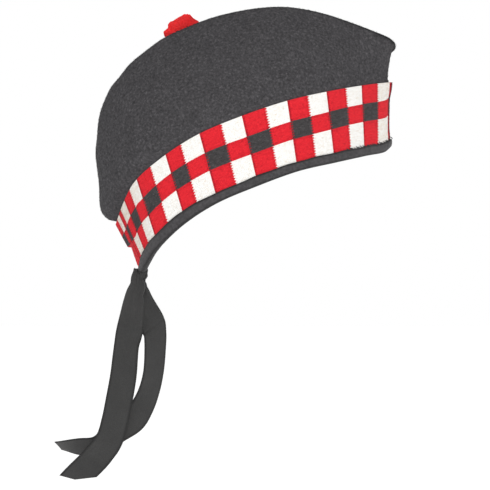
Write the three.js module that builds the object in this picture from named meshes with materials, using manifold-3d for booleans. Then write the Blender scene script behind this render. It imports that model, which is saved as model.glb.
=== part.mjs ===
// A glengarry in charcoal milled wool: a boat-shaped crown with a pleated top, a diced band,
// a ribbon-bound rim, a knot with two ribbon tails at the back and a red wool toorie in the pleat.
// Millimetres. +X is the wearer's front, +Y the wearer's left and +Z up, with the hat as it is worn.
// The origin is the middle of the head opening.
import * as THREE from "three";
import { mergeVertices } from "three/addons/utils/BufferGeometryUtils.js";
import Module from "manifold-3d";

const wasm = await Module();
wasm.setup();

// Cloth thicknesses, and the gap between pieces that lie against each other
const FELT_WALL = 2.2;
const BAND_WALL = 1.6;
const TAPE_WALL = 1.0;
const GAP = 0.3;

// Crown: the ribs of its right side from front to back, mirrored for the left
// rim: lower edge. band: where the diced band ends. ridge: fold along the top.
// pleat: floor of the fold between the two ridges. lip: how far the crown hangs out over the band.
// belly: how far its side swells between band and ridge.
const RIB_COLUMNS = [
  "rimX", "rimY", "rimZ", "bandX", "bandY", "bandZ", "lip", "belly",
  "ridgeX", "ridgeY", "ridgeZ", "pleatX", "pleatZ",
];
const RIB_ROWS = [
  [94.9, 0.0, 46.8, 95.7, 0.0, 99.7, 0.0, -2.6, 101.3, 0.0, 126.8, 92.0, 135.2],
  [91.9, 6.2, 46.5, 92.7, 6.2, 99.4, 0.0, -1.2, 96.4, 5.8, 132.8, 86.0, 137.0],
  [77.5, 27.0, 43.4, 75.7, 29.0, 97.3, 0.5, 2.0, 77.4, 11.0, 141.8, 71.0, 137.5],
  [53.8, 50.0, 38.2, 47.6, 54.0, 92.4, 1.0, 6.0, 46.2, 20.0, 152.7, 45.0, 138.5],
  [24.4, 66.0, 31.4, 16.4, 71.0, 85.2, 1.5, 8.0, 13.3, 26.0, 158.0, 13.0, 139.5],
  [-7.0, 72.0, 20.0, -19.5, 78.0, 73.4, 2.0, 9.0, -24.2, 28.0, 154.5, -24.0, 135.5],
  [-38.6, 70.0, 6.5, -53.0, 77.0, 59.7, 3.0, 10.0, -61.6, 27.0, 142.6, -60.0, 123.5],
  [-63.6, 60.0, -9.6, -79.6, 68.0, 43.3, 5.0, 10.0, -93.6, 23.0, 124.6, -90.0, 107.5],
  [-84.2, 42.0, -29.0, -101.6, 50.0, 23.8, 8.0, 10.0, -120.6, 15.0, 96.4, -113.5, 87.5],
  [-96.5, 0.0, -45.8, -116.4, 0.0, -9.2, 9.9, 6.0, -132.4, 0.0, 54.0, -131.2, 74.0],
];
const LIP_RISE = 2.5;
const LIP_SLOPE = 0.35;
const LIP_BACK_RISE = 4.5;
const LIP_BACK_REACH = 1.4;
const BELLY_AT = 0.5;
const SHOULDER_AT = 0.86;
const SHOULDER_SWELL = 0.5;
const PLEAT_SLOPE_AT = 0.55;

// How finely the crown is divided: columns in each step between ribs, and rows in each part of a rib
const COLUMN_STEPS = [3, 3, 3, 3, 3, 3, 3, 3, 5];
const WALL_ROWS = 2;
const SIDE_ROWS = [2, 3, 3, 2, 2, 2];
const FOLD_CALMING = 4;

// Diced band: open at the back, where its two ends meet
const BAND_BACK_SLIT = 1.0;
const BAND_TOP_CLEARANCE = 1.0;

// Rim binding: a tape folded over the edges of crown and band
const BINDING_HEIGHT = 6.1;
const BINDING_CORNER = 2.0;

// Ribbon knot at the back of the rim
const KNOT_CENTRE = new THREE.Vector3(-98.7, 0, -53.0);
const KNOT_HALF_LENGTH = 7.0;
const KNOT_FLATTENING = 0.72;
const KNOT_PROFILE = [
  { radius: 4.4, along: -1.0 },
  { radius: 5.6, along: -0.55 },
  { radius: 6.0, along: 0.0 },
  { radius: 5.6, along: 0.55 },
  { radius: 4.6, along: 1.0 },
];
const KNOT_SIDES = 16;
const WRAP_RADIUS = 6.6;
const WRAP_HEIGHT = 7.5;
const WRAP_WALL = 1.6;
const WRAP_ROLL = 0.6;
const WRAP_TILT = THREE.MathUtils.degToRad(32);

// Ribbon tails: a row for each place along the middle of the ribbon, from the knot down
// width: share of the ribbon's whole width. turn: degrees that it is turned about its own length.
const RIBBON_WIDTH = 21.0;
const TAIL_COLUMNS = ["x", "y", "z", "width", "turn"];
const RIGHT_TAIL_ROWS = [
  [-99.9, -1.8, -59.6, 0.58, 0],
  [-103.1, -3.2, -72.9, 0.8, 14],
  [-105.7, -4.4, -85.4, 0.96, 22],
  [-108.4, -5.0, -103.3, 1.0, 26],
  [-111.3, -4.8, -129.9, 1.0, 10],
  [-114.0, -4.2, -148.6, 1.0, 0],
  [-117.4, -4.2, -164.2, 1.0, -8],
  [-122.2, -4.8, -178.8, 1.0, -8],
  [-131.8, -5.8, -192.1, 1.0, -4],
  [-147.1, -7.4, -208.3, 1.0, -4],
];
const LEFT_TAIL_ROWS = [
  [-97.6, 1.8, -59.6, 0.58, 0],
  [-94.0, 4.2, -72.9, 0.8, -24],
  [-89.5, 6.4, -85.4, 0.94, -28],
  [-86.6, 7.6, -96.0, 1.0, -34],
  [-86.4, 8.2, -106.0, 1.0, -38],
  [-87.9, 8.2, -127.0, 1.0, -43],
  [-91.6, 7.0, -142.3, 1.0, -40],
  [-96.4, 5.4, -153.4, 1.0, -32],
  [-103.6, 3.4, -163.8, 1.0, -18],
  [-115.0, 2.6, -172.9, 1.0, -16],
  [-130.3, 5.4, -183.6, 1.0, -44],
  [-145.9, 6.6, -184.9, 1.0, -50],
  [-162.2, 7.4, -184.0, 1.0, -76],
];
const RIGHT_TAIL_END_SLANT = 8.5;
const LEFT_TAIL_END_SLANT = 2.3;
const SLANT_FROM = 0.78;
const TAIL_STEPS = 3;

// Toorie: a head with locks of wool standing out from it all round, pressed into the pleat
const TOORIE_CENTRE = new THREE.Vector3(-63.6, 0, 137.8);
const TOORIE_RADIUS = 15.0;
const TOORIE_HEAD = 0.83;
const LOCK_COUNT = 64;
const LOCK_SIDES = 5;
const LOCK_ROOT = 3.4;
const LOCK_TIP = 2.0;

const FELT_COLOUR = 0x4b494c;
const BAND_COLOUR = 0xe0303a;
const RIBBON_COLOUR = 0x454443;
const TOORIE_COLOUR = 0xe0282d;

function namedRows(columns, rows) {
  return rows.map((row) => Object.fromEntries(columns.map((name, index) => [name, row[index]])));
}

const RIBS = namedRows(RIB_COLUMNS, RIB_ROWS);
const BACK = RIBS.length - 1;

// Geometry from points and triangles, and to and from the joining and cutting form
function geometryFrom(points, triangles) {
  const geometry = new THREE.BufferGeometry();
  const values = points.flatMap((point) => [point.x, point.y, point.z]);
  geometry.setAttribute("position", new THREE.Float32BufferAttribute(values, 3));
  geometry.setIndex(triangles.flat());
  return geometry;
}

function toManifold(source) {
  const geometry = source.clone();
  geometry.deleteAttribute("normal");
  geometry.deleteAttribute("uv");
  const merged = mergeVertices(geometry, 1e-4);
  const vertProperties = new Float32Array(merged.attributes.position.array);
  const triVerts = new Uint32Array(merged.index.array);
  return new wasm.Manifold(new wasm.Mesh({ numProp: 3, vertProperties, triVerts }));
}

function fromManifold(solid) {
  const mesh = solid.getMesh();
  const geometry = new THREE.BufferGeometry();
  geometry.setAttribute("position", new THREE.Float32BufferAttribute(mesh.vertProperties, 3));
  geometry.setIndex(Array.from(mesh.triVerts));
  return geometry;
}

// Joins equal loops of points into one closed surface.
// A ring of loops closes on itself, and a strip gets two ends.
// The two faces of a strip, which are the two halves of its loops, bend along the same lines.
function sweep(loops, isRing) {
  const size = loops[0].length;
  const triangles = [];
  const steps = isRing ? loops.length : loops.length - 1;
  for (let step = 0; step < steps; step += 1) {
    const here = step * size;
    const there = ((step + 1) % loops.length) * size;
    for (let k = 0; k < size; k += 1) {
      const next = (k + 1) % size;
      if (k < size / 2) {
        triangles.push([here + k, here + next, there + next], [here + k, there + next, there + k]);
      } else {
        triangles.push([here + k, here + next, there + k], [here + next, there + next, there + k]);
      }
    }
  }
  if (!isRing) {
    const last = (loops.length - 1) * size;
    for (let k = 0; k < size / 2 - 1; k += 1) {
      const mate = size - 1 - k;
      triangles.push([k, mate - 1, k + 1], [k, mate, mate - 1]);
      triangles.push([last + k, last + k + 1, last + mate - 1]);
      triangles.push([last + k, last + mate - 1, last + mate]);
    }
  }
  return geometryFrom(loops.flat(), triangles);
}

// Curves that run once round the hat: front, right side, back, left side
function ringCurve(pointOf) {
  const right = RIBS.map((rib) => pointOf(rib));
  const left = right.slice(1, BACK).reverse();
  const mirrored = left.map((point) => new THREE.Vector3(point.x, -point.y, point.z));
  return new THREE.CatmullRomCurve3([...right, ...mirrored], true, "centripetal");
}

const rimRing = ringCurve((rib) => new THREE.Vector3(rib.rimX, -rib.rimY, rib.rimZ));
const bandRing = ringCurve((rib) => new THREE.Vector3(rib.bandX, -rib.bandY, rib.bandZ));
const ridgeRing = ringCurve((rib) => new THREE.Vector3(rib.ridgeX, -rib.ridgeY, rib.ridgeZ));
const pleatRing = ringCurve((rib) => new THREE.Vector3(rib.pleatX, 0, rib.pleatZ));

function ribValue(name, place) {
  const index = Math.min(Math.floor(place), BACK - 1);
  return THREE.MathUtils.lerp(RIBS[index][name], RIBS[index + 1][name], place - index);
}

// The places, in ribs from the front, of the crown's columns on one side
const PLACES = [0];
COLUMN_STEPS.forEach((steps, index) => {
  for (let step = 1; step <= steps; step += 1) {
    PLACES.push(index + step / steps);
  }
});
const HALF = PLACES.length - 1;
const RING = 2 * HALF;
const LAST_ROW = WALL_ROWS + SIDE_ROWS.reduce((sum, rows) => sum + rows, 0);

function mirrorY(point) {
  return new THREE.Vector3(point.x, -point.y, point.z);
}

// One rib of the right side from the rim up over the ridge to the floor of the pleat
function ribPoints(place) {
  const at = place / (2 * BACK);
  const step = 0.02 / BACK;
  const rim = rimRing.getPoint(at);
  const band = bandRing.getPoint(at);
  const ridge = ridgeRing.getPoint(at);
  const pleat = pleatRing.getPoint(at);
  const along = bandRing.getPoint((at + step) % 1).sub(bandRing.getPoint((at - step + 1) % 1));
  const rise = ridge.clone().sub(band);
  const outward = rise.clone().cross(along).normalize();
  const lip = ribValue("lip", place);
  const belly = ribValue("belly", place);
  const swollen = (share, swell) => {
    return band.clone().addScaledVector(rise, share).addScaledVector(outward, swell);
  };
  const lipBack = THREE.MathUtils.smoothstep(place, BACK - LIP_BACK_REACH, BACK);
  const lipRise = LIP_RISE + LIP_SLOPE * lip + LIP_BACK_RISE * lipBack;
  const lipPoint = swollen(lipRise / rise.length(), lip);
  const side = swollen(BELLY_AT, belly);
  const shoulder = swollen(SHOULDER_AT, belly * SHOULDER_SWELL);
  const slope = ridge.clone().lerp(pleat, PLEAT_SLOPE_AT);
  const guides = [rim, band, lipPoint, side, shoulder, ridge, slope, pleat, mirrorY(slope)];
  const curve = new THREE.CatmullRomCurve3(guides, false, "centripetal");
  const points = [];
  for (let row = 0; row < WALL_ROWS; row += 1) {
    points.push(rim.clone().lerp(band, row / WALL_ROWS));
  }
  SIDE_ROWS.forEach((rows, part) => {
    for (let row = 0; row < rows; row += 1) {
      points.push(curve.getPoint((part + 1 + row / rows) / (guides.length - 1)));
    }
  });
  points.push(pleat);
  return points;
}

// The crown's outer skin as a grid of columns round the hat.
// Both halves share the points of the pleat's floor.
const rightRibs = PLACES.map((place) => ribPoints(place));
const skin = [...rightRibs];
for (let column = HALF - 1; column > 0; column -= 1) {
  skin.push(rightRibs[column].map((point) => mirrorY(point)));
}
for (const column of [0, HALF]) {
  skin[column].forEach((point) => point.setY(0));
}

function vertexOf(column, row) {
  const around = (column + RING) % RING;
  const shared = row === LAST_ROW && around > HALF ? RING - around : around;
  return shared * (LAST_ROW + 1) + row;
}

function skinTriangles() {
  const triangles = [];
  for (let column = 0; column < RING; column += 1) {
    for (let row = 0; row < LAST_ROW; row += 1) {
      const low = vertexOf(column, row);
      const lowNext = vertexOf(column + 1, row);
      const high = vertexOf(column, row + 1);
      const highNext = vertexOf(column + 1, row + 1);
      triangles.push([low, high, highNext], [low, highNext, lowNext]);
    }
  }
  return triangles;
}

const skinPoints = skin.flat();
const skinFaces = skinTriangles();
const skinGeometry = geometryFrom(skinPoints, skinFaces);
skinGeometry.computeVertexNormals();

// Each point's way out of the felt, evened between the two halves
function skinNormal(column, row) {
  const normals = skinGeometry.attributes.normal;
  const own = new THREE.Vector3().fromBufferAttribute(normals, vertexOf(column, row));
  const twin = new THREE.Vector3().fromBufferAttribute(normals, vertexOf(RING - column, row));
  return own.add(mirrorY(twin)).normalize();
}

const skinNormals = skin.flatMap((rib, column) => rib.map((_, row) => skinNormal(column, row)));

// The same ways, averaged with their neighbours: the inside of a tight fold is rounder than its outside
function calmedNormals(passes) {
  let normals = skinNormals;
  for (let pass = 0; pass < passes; pass += 1) {
    const before = normals;
    const at = (column, row) => before[vertexOf(column, row)];
    normals = skin.flatMap((rib, column) => rib.map((_, row) => {
      const above = row < LAST_ROW ? at(column, row + 1) : at(RING - column, row - 1);
      const below = at(column, Math.max(row - 1, 0));
      const sum = at(column, row).clone().add(above).add(below);
      return sum.add(at(column - 1, row)).add(at(column + 1, row)).normalize();
    }));
  }
  return normals;
}

function offsetSkin(distance, normals) {
  return skinPoints.map((point, index) => point.clone().addScaledVector(normals[index], distance));
}

// Crown: the outer skin, an inner skin one wall inside it, and the edge between them round the rim
function crownGeometry() {
  const count = skinPoints.length;
  const inner = skinFaces.map(([a, b, c]) => [a + count, c + count, b + count]);
  const rim = [];
  for (let column = 0; column < RING; column += 1) {
    const here = vertexOf(column, 0);
    const there = vertexOf(column + 1, 0);
    rim.push([here, there, there + count], [here, there + count, here + count]);
  }
  const insidePoints = offsetSkin(-FELT_WALL, calmedNormals(FOLD_CALMING));
  return geometryFrom([...skinPoints, ...insidePoints], [...skinFaces, ...inner, ...rim]);
}

// The crown's whole form as a filled block, grown by a distance, closed across the head opening
function crownBlock(distance) {
  const points = offsetSkin(distance, skinNormals);
  const middle = new THREE.Vector3();
  for (let column = 0; column < RING; column += 1) {
    middle.addScaledVector(points[vertexOf(column, 0)], 1 / RING);
  }
  points.push(middle);
  const floor = [];
  for (let column = 0; column < RING; column += 1) {
    floor.push([vertexOf(column, 0), vertexOf(column + 1, 0), points.length - 1]);
  }
  return geometryFrom(points, [...skinFaces, ...floor]);
}

// The wall behind the band at a column: points from the rim up, and the ways out of and up the wall
function wallAt(column) {
  const points = [];
  const normals = [];
  for (let row = 0; row <= WALL_ROWS; row += 1) {
    points.push(skinPoints[vertexOf(column, row)].clone());
    normals.push(skinNormals[vertexOf(column, Math.min(row, WALL_ROWS - 1))].clone());
  }
  return { points, normals };
}

function wallBetween(from, to, share) {
  const near = wallAt(from);
  const far = wallAt(to);
  const points = near.points.map((point, row) => point.lerp(far.points[row], share));
  const normals = near.normals.map((normal, row) => normal.lerp(far.normals[row], share).normalize());
  return { points, normals };
}

// Diced band: a strip round the outside of the wall, from one side of the back slit to the other
function bandLoop(wall) {
  const top = wall.points[WALL_ROWS];
  const below = wall.points[WALL_ROWS - 1];
  top.addScaledVector(top.clone().sub(below).normalize(), -BAND_TOP_CLEARANCE);
  const at = (row, distance) => wall.points[row].clone().addScaledVector(wall.normals[row], distance);
  const rows = wall.points.map((_, row) => row);
  const outer = rows.map((row) => at(row, GAP + BAND_WALL));
  const inner = rows.map((row) => at(row, GAP)).reverse();
  return [...outer, ...inner];
}

function bandGeometry() {
  const seam = wallAt(HALF).points[0];
  const step = seam.distanceTo(wallAt(HALF + 1).points[0]);
  const share = BAND_BACK_SLIT / 2 / step;
  const loops = [bandLoop(wallBetween(HALF, HALF + 1, share))];
  for (let column = HALF + 1; column < HALF + RING; column += 1) {
    loops.push(bandLoop(wallAt(column)));
  }
  loops.push(bandLoop(wallBetween(HALF, HALF - 1, share)));
  return sweep(loops, false);
}

// Rim binding: the folded tape's section, out away from the head and up the wall, grown by a distance
function bindingOutline(grow) {
  const inside = -(FELT_WALL + GAP + TAPE_WALL) - grow;
  const outside = GAP + BAND_WALL + GAP + TAPE_WALL + grow;
  const bottom = -(GAP + TAPE_WALL) - grow;
  const round = BINDING_CORNER + grow;
  const slack = round * (1 - Math.SQRT1_2);
  return [
    { out: inside, up: BINDING_HEIGHT },
    { out: inside, up: bottom + round },
    { out: inside + slack, up: bottom + slack },
    { out: inside + round, up: bottom },
    { out: outside - round, up: bottom },
    { out: outside - slack, up: bottom + slack },
    { out: outside, up: bottom + round },
    { out: outside, up: BINDING_HEIGHT },
  ];
}

function bindingChannel() {
  return [
    { out: GAP + BAND_WALL + GAP, up: BINDING_HEIGHT },
    { out: GAP + BAND_WALL + GAP, up: -GAP },
    { out: -(FELT_WALL + GAP), up: -GAP },
    { out: -(FELT_WALL + GAP), up: BINDING_HEIGHT },
  ];
}

function bindingGeometry(section) {
  const loops = [];
  for (let column = 0; column < RING; column += 1) {
    const wall = wallAt(column);
    const upward = wall.points[1].clone().sub(wall.points[0]).normalize();
    const outward = wall.normals[0].clone();
    outward.addScaledVector(upward, -outward.dot(upward)).normalize();
    loops.push(section.map(({ out, up }) => {
      return wall.points[0].clone().addScaledVector(outward, out).addScaledVector(upward, up);
    }));
  }
  return sweep(loops, true);
}

// Ribbon knot: a gathered core with one turn of ribbon laid slantwise over it, grown by a distance
function knotBlock(grow) {
  const half = KNOT_HALF_LENGTH + grow;
  const profile = KNOT_PROFILE.map(({ radius, along }) => {
    return new THREE.Vector2(radius + grow, along * half);
  });
  const ends = [new THREE.Vector2(0, -half), new THREE.Vector2(0, half)];
  const core = new THREE.LatheGeometry([ends[0], ...profile, ends[1]], KNOT_SIDES);
  core.rotateX(Math.PI / 2);
  core.scale(1, KNOT_FLATTENING, 1);
  const outside = WRAP_RADIUS + grow;
  const edge = WRAP_HEIGHT / 2 + grow;
  const loops = [];
  for (let side = 0; side < KNOT_SIDES; side += 1) {
    const angle = (-2 * Math.PI * (side + 0.5)) / KNOT_SIDES;
    const out = new THREE.Vector3(Math.cos(angle), Math.sin(angle) * KNOT_FLATTENING, 0);
    const corner = (radius, height) => out.clone().multiplyScalar(radius).setZ(height);
    loops.push([
      corner(WRAP_RADIUS - WRAP_WALL, -edge),
      corner(outside - WRAP_ROLL, -edge),
      corner(outside, 0),
      corner(outside - WRAP_ROLL, edge),
      corner(WRAP_RADIUS - WRAP_WALL, edge),
    ]);
  }
  const wrap = sweep(loops, true);
  wrap.rotateY(WRAP_TILT);
  return toManifold(core).add(toManifold(wrap)).translate(KNOT_CENTRE.toArray());
}

// The knot is seated over the binding's lower edge
function knotGeometry() {
  return fromManifold(knotBlock(0).subtract(toManifold(bindingGeometry(bindingOutline(GAP)))));
}

// Ribbon tail: a flat strip along its middle line, turned about its length and cut on a slant at its end
function tailGeometry(rows, endSlant) {
  const places = namedRows(TAIL_COLUMNS, rows);
  const centres = places.map(({ x, y, z }) => new THREE.Vector3(x, y, z));
  const settings = places.map(({ width, turn }) => new THREE.Vector3(width, turn, 0));
  const middle = new THREE.CatmullRomCurve3(centres);
  const setting = new THREE.CatmullRomCurve3(settings);
  const count = (places.length - 1) * TAIL_STEPS;
  const viewed = new THREE.Vector3(0, 1, 0);
  const loops = [];
  for (let step = 0; step <= count; step += 1) {
    const at = step / count;
    const centre = middle.getPoint(at);
    const along = middle.getTangent(at);
    const { x: width, y: turn } = setting.getPoint(at);
    const across = along.clone().cross(viewed).normalize();
    across.applyAxisAngle(along, THREE.MathUtils.degToRad(turn));
    const face = along.clone().cross(across);
    const slant = endSlant * THREE.MathUtils.smoothstep(at, SLANT_FROM, 1);
    const corner = (side, depth) => {
      const point = centre.clone().addScaledVector(across, (side * width * RIBBON_WIDTH) / 2);
      return point.addScaledVector(face, (depth * TAPE_WALL) / 2).addScaledVector(along, -side * slant);
    };
    loops.push([corner(-1, -1), corner(1, -1), corner(1, 1), corner(-1, 1)]);
  }
  return fromManifold(toManifold(sweep(loops, false)).subtract(knotBlock(GAP)));
}

// Toorie: locks set evenly over a head, then pressed to the faces of the pleat
function toorieGeometry() {
  const head = new THREE.IcosahedronGeometry(TOORIE_RADIUS * TOORIE_HEAD, 2);
  let solid = toManifold(head);
  const goldenAngle = Math.PI * (3 - Math.sqrt(5));
  const length = TOORIE_RADIUS * 0.5;
  for (let index = 0; index < LOCK_COUNT; index += 1) {
    const height = 1 - (2 * index + 1) / LOCK_COUNT;
    const reach = Math.sqrt(1 - height * height);
    const way = new THREE.Vector3(
      reach * Math.cos(index * goldenAngle),
      reach * Math.sin(index * goldenAngle),
      height,
    );
    const lock = new THREE.CylinderGeometry(LOCK_TIP, LOCK_ROOT, length, LOCK_SIDES);
    lock.translate(0, TOORIE_RADIUS - length / 2, 0);
    lock.applyQuaternion(new THREE.Quaternion().setFromUnitVectors(new THREE.Vector3(0, 1, 0), way));
    solid = solid.add(toManifold(lock));
  }
  const placed = solid.translate(TOORIE_CENTRE.toArray());
  return fromManifold(placed.subtract(toManifold(crownBlock(GAP))));
}

function piece(name, geometry, colour, roughness) {
  const material = new THREE.MeshStandardMaterial({ color: colour, roughness });
  const mesh = new THREE.Mesh(geometry, material);
  mesh.name = name;
  return mesh;
}

const glengarry = new THREE.Group();
glengarry.name = "glengarry";
const bindingSection = [...bindingOutline(0), ...bindingChannel()];
glengarry.add(
  piece("crown", crownGeometry(), FELT_COLOUR, 0.95),
  piece("diced_band", bandGeometry(), BAND_COLOUR, 0.9),
  piece("rim_binding", bindingGeometry(bindingSection), RIBBON_COLOUR, 0.8),
  piece("ribbon_knot", knotGeometry(), RIBBON_COLOUR, 0.8),
  piece("ribbon_tail_right", tailGeometry(RIGHT_TAIL_ROWS, RIGHT_TAIL_END_SLANT), RIBBON_COLOUR, 0.8),
  piece("ribbon_tail_left", tailGeometry(LEFT_TAIL_ROWS, LEFT_TAIL_END_SLANT), RIBBON_COLOUR, 0.8),
  piece("toorie", toorieGeometry(), TOORIE_COLOUR, 0.95),
);

export default glengarry;
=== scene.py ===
"""The dressed glengarry: milled wool crown, knitted dicing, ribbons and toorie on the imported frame.

Sizes are in millimetres until a mesh is made. +X is the wearer's front, +Y the wearer's left, +Z up.
Places round the hat are counted in ribs: 0 at the front, 9 at the back.
"""
import math

import bpy
import numpy as np
from mathutils import Matrix


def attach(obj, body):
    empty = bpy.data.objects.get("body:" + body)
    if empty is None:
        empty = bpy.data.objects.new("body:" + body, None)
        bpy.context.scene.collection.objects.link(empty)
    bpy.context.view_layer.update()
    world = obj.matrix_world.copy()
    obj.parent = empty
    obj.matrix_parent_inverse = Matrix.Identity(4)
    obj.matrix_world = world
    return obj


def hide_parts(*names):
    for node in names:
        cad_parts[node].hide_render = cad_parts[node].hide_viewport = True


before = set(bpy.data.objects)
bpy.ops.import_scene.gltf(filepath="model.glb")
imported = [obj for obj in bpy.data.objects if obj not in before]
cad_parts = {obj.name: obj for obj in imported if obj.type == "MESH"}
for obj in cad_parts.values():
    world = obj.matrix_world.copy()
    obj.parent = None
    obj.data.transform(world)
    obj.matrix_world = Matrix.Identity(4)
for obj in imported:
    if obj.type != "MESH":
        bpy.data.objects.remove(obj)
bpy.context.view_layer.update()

MM = 0.001
BODY = "root"
random = np.random.default_rng(1872)

# Cloth thicknesses and the gap between pieces, as in the solids
FELT_WALL = 2.2
BAND_WALL = 1.6
TAPE_WALL = 1.0
GAP = 0.3

# Crown ribs of the right side, front to back: rim, top of band, lip, belly, ridge, pleat
RIBS = np.array([
    (94.9, 0.0, 49.6, 95.7, 0.0, 99.7, -1.2, -2.6, 100.7, 0.0, 128.2, 92.0, 135.2),
    (91.9, 6.2, 46.5, 92.7, 6.2, 99.4, -0.8, -1.2, 96.4, 5.8, 132.8, 86.0, 137.0),
    (77.5, 27.0, 43.4, 75.7, 29.0, 97.3, 0.5, 2.0, 77.4, 11.0, 141.8, 71.0, 137.5),
    (53.8, 50.0, 38.2, 47.6, 54.0, 92.4, 1.0, 6.0, 46.2, 20.0, 152.7, 45.0, 138.5),
    (24.4, 66.0, 31.4, 16.4, 71.0, 85.2, 1.5, 8.0, 13.3, 26.0, 158.0, 13.0, 139.5),
    (-7.0, 72.0, 20.0, -19.5, 78.0, 73.4, 2.0, 9.0, -24.2, 28.0, 154.5, -24.0, 135.5),
    (-38.6, 70.0, 6.5, -53.0, 77.0, 59.7, 3.0, 10.0, -61.6, 27.0, 142.6, -60.0, 123.5),
    (-63.6, 60.0, -9.6, -79.6, 68.0, 43.3, 5.0, 10.0, -93.6, 23.0, 124.6, -90.0, 107.5),
    (-84.2, 42.0, -29.0, -101.6, 50.0, 23.8, 8.0, 10.0, -120.6, 15.0, 96.4, -113.5, 87.5),
    (-96.5, 0.0, -45.8, -116.4, 0.0, -9.2, 9.2, 6.0, -131.9, 0.0, 54.0, -129.2, 74.0),
])
BACK = len(RIBS) - 1
RIM, BAND, RIDGE = [0, 1, 2], [3, 4, 5], [8, 9, 10]
LIP, BELLY, PLEAT_X, PLEAT_Z = 6, 7, 11, 12
MIRROR = np.array([1.0, -1.0, 1.0])
# The lip's rise above the band, and what its overhang adds to that
LIP_RISE = 2.5
LIP_SLOPE = 0.35
# How much the lip rises and sags towards the back, and between which places that sets in
LIP_BACK_RISE = (3.2, BACK - 1.4, BACK)
LIP_BACK_SAG = (2.4, BACK - 1.0, BACK)
# Shares of the way from the band to the ridge, and the shoulder's share of the belly's swell
BELLY_AT = 0.5
SHOULDER_AT = 0.86
SHOULDER_SWELL = 0.5
# The front fold's shoulder lies lower and is drawn in more, as far as this place, and the beak is rounded out
FRONT_SHOULDER_AT = 0.77
FRONT_SHOULDER_SWELL = 0.94
FRONT_SHOULDER_END = 0.7
BEAK_SWELL = 1.0
PLEAT_SLOPE_AT = 0.55
# Low swells and hollows along the ridge: place in ribs, reach, height
RIDGE_SWELLS = np.array([
    (0.45, 0.25, 0.8), (1.0, 0.40, 0.6), (2.6, 0.50, -0.4), (4.0, 0.50, 0.3), (5.0, 0.50, -0.3),
    (6.0, 0.35, -0.5), (6.95, 0.28, -0.5), (7.74, 0.22, -1.2), (8.42, 0.20, 1.5),
])
# Hollow in the wall at the nape: depth, reach in ribs, and the shares of the height between which it deepens
NAPE_DENT = 2.3
NAPE_REACH = 0.30
NAPE_HEIGHTS = (0.12, 0.44)
NAPE_FADE = 0.05
# Hollow down the front fold: depth, reach in ribs, and its middle and half span as shares of the height
FRONT_DENT = 0.9
FRONT_REACH = 0.80
FRONT_HEIGHTS = (0.50, 0.30)


# Curves and surfaces
def unit(vectors):
    return vectors / np.linalg.norm(vectors, axis=-1, keepdims=True)


def smoothstep(values, low, high):
    share = np.clip((values - low) / (high - low), 0.0, 1.0)
    return share * share * (3.0 - 2.0 * share)


def setting_in(values, amount, start, end):
    """An amount that sets in between two values."""
    return amount * smoothstep(values, start, end)


def bell(values, width, power=2):
    """1 at a value of 0, fading on both sides."""
    return np.exp(-((values / width) ** power))


def moved(points, *ways):
    """Points moved along ways, by the distances given with each."""
    return points + sum(way * distance[..., None] for way, distance in ways)


def stacked(*parts):
    """A table with the parts as its last axis."""
    return np.stack(np.broadcast_arrays(*parts), axis=-1)


def curve(points, at, closed=False):
    """Centripetal curve through points (..., k, 3), at shares of its whole run."""
    points = np.asarray(points, float)
    start, end = points[..., :2, :], points[..., -2:, :]
    if closed:
        longer = [end[..., 1:, :], points, start]
    else:
        longer = [2 * start[..., :1, :] - start[..., 1:, :], points, 2 * end[..., 1:, :] - end[..., :1, :]]
    longer = np.concatenate(longer, axis=-2)
    spans = longer.shape[-2] - 3
    run = np.asarray(at, float) * spans
    first = np.clip(np.floor(run).astype(int), 0, spans - 1)
    p0, p1, p2, p3 = (longer[..., first + shift, :] for shift in range(4))
    d0, d1, d2 = (np.sqrt(np.linalg.norm(gap, axis=-1, keepdims=True)) for gap in (p1 - p0, p2 - p1, p3 - p2))
    m1 = ((p1 - p0) / d0 - (p2 - p0) / (d0 + d1) + (p2 - p1) / d1) * d1
    m2 = ((p2 - p1) / d1 - (p3 - p1) / (d1 + d2) + (p3 - p2) / d2) * d1
    t = (run - first)[..., None]
    return p1 + m1 * t + (-3 * p1 + 3 * p2 - 2 * m1 - m2) * t**2 + (2 * p1 - 2 * p2 + m1 + m2) * t**3


def run_along(points):
    """Distance of each point (..., k, 3) from the first, along the line that they form."""
    steps = np.linalg.norm(np.diff(points, axis=-2), axis=-1)
    return np.concatenate([np.zeros_like(steps[..., :1]), np.cumsum(steps, axis=-1)], axis=-1)


def ring_points(right):
    """The right side's points, then those of the left, once round the hat."""
    return np.concatenate([right * MIRROR, right[1:-1][::-1]])


PLEAT = stacked(RIBS[:, PLEAT_X], 0.0, RIBS[:, PLEAT_Z])
RINGS = {
    "rim": ring_points(RIBS[:, RIM]),
    "band": ring_points(RIBS[:, BAND]),
    "ridge": ring_points(RIBS[:, RIDGE]),
    "pleat": ring_points(PLEAT),
}


def ring_at(name, places):
    """Points of a ring at places once round: the right side up to BACK, the left beyond it or below 0."""
    return curve(RINGS[name], np.mod(np.asarray(places, float) / (2 * BACK), 1.0), closed=True)


def from_front(places):
    """How many ribs places lie from the front, on either side."""
    return np.abs(np.mod(places + BACK, 2 * BACK) - BACK)


def wall_dent(places, height):
    """How far the wall is drawn in above the knot and along the front fold."""
    folded = from_front(places)
    low, high = NAPE_HEIGHTS
    deepening = np.clip((height - low) / (high - low), 0, 1) * smoothstep(height, high + NAPE_FADE, high)
    nape = NAPE_DENT * bell(BACK - folded, NAPE_REACH, 4) * deepening
    middle, span = FRONT_HEIGHTS
    front = FRONT_DENT * bell(folded, FRONT_REACH, 4) * bell(height - middle, span, 6)
    return nape + front


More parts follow.
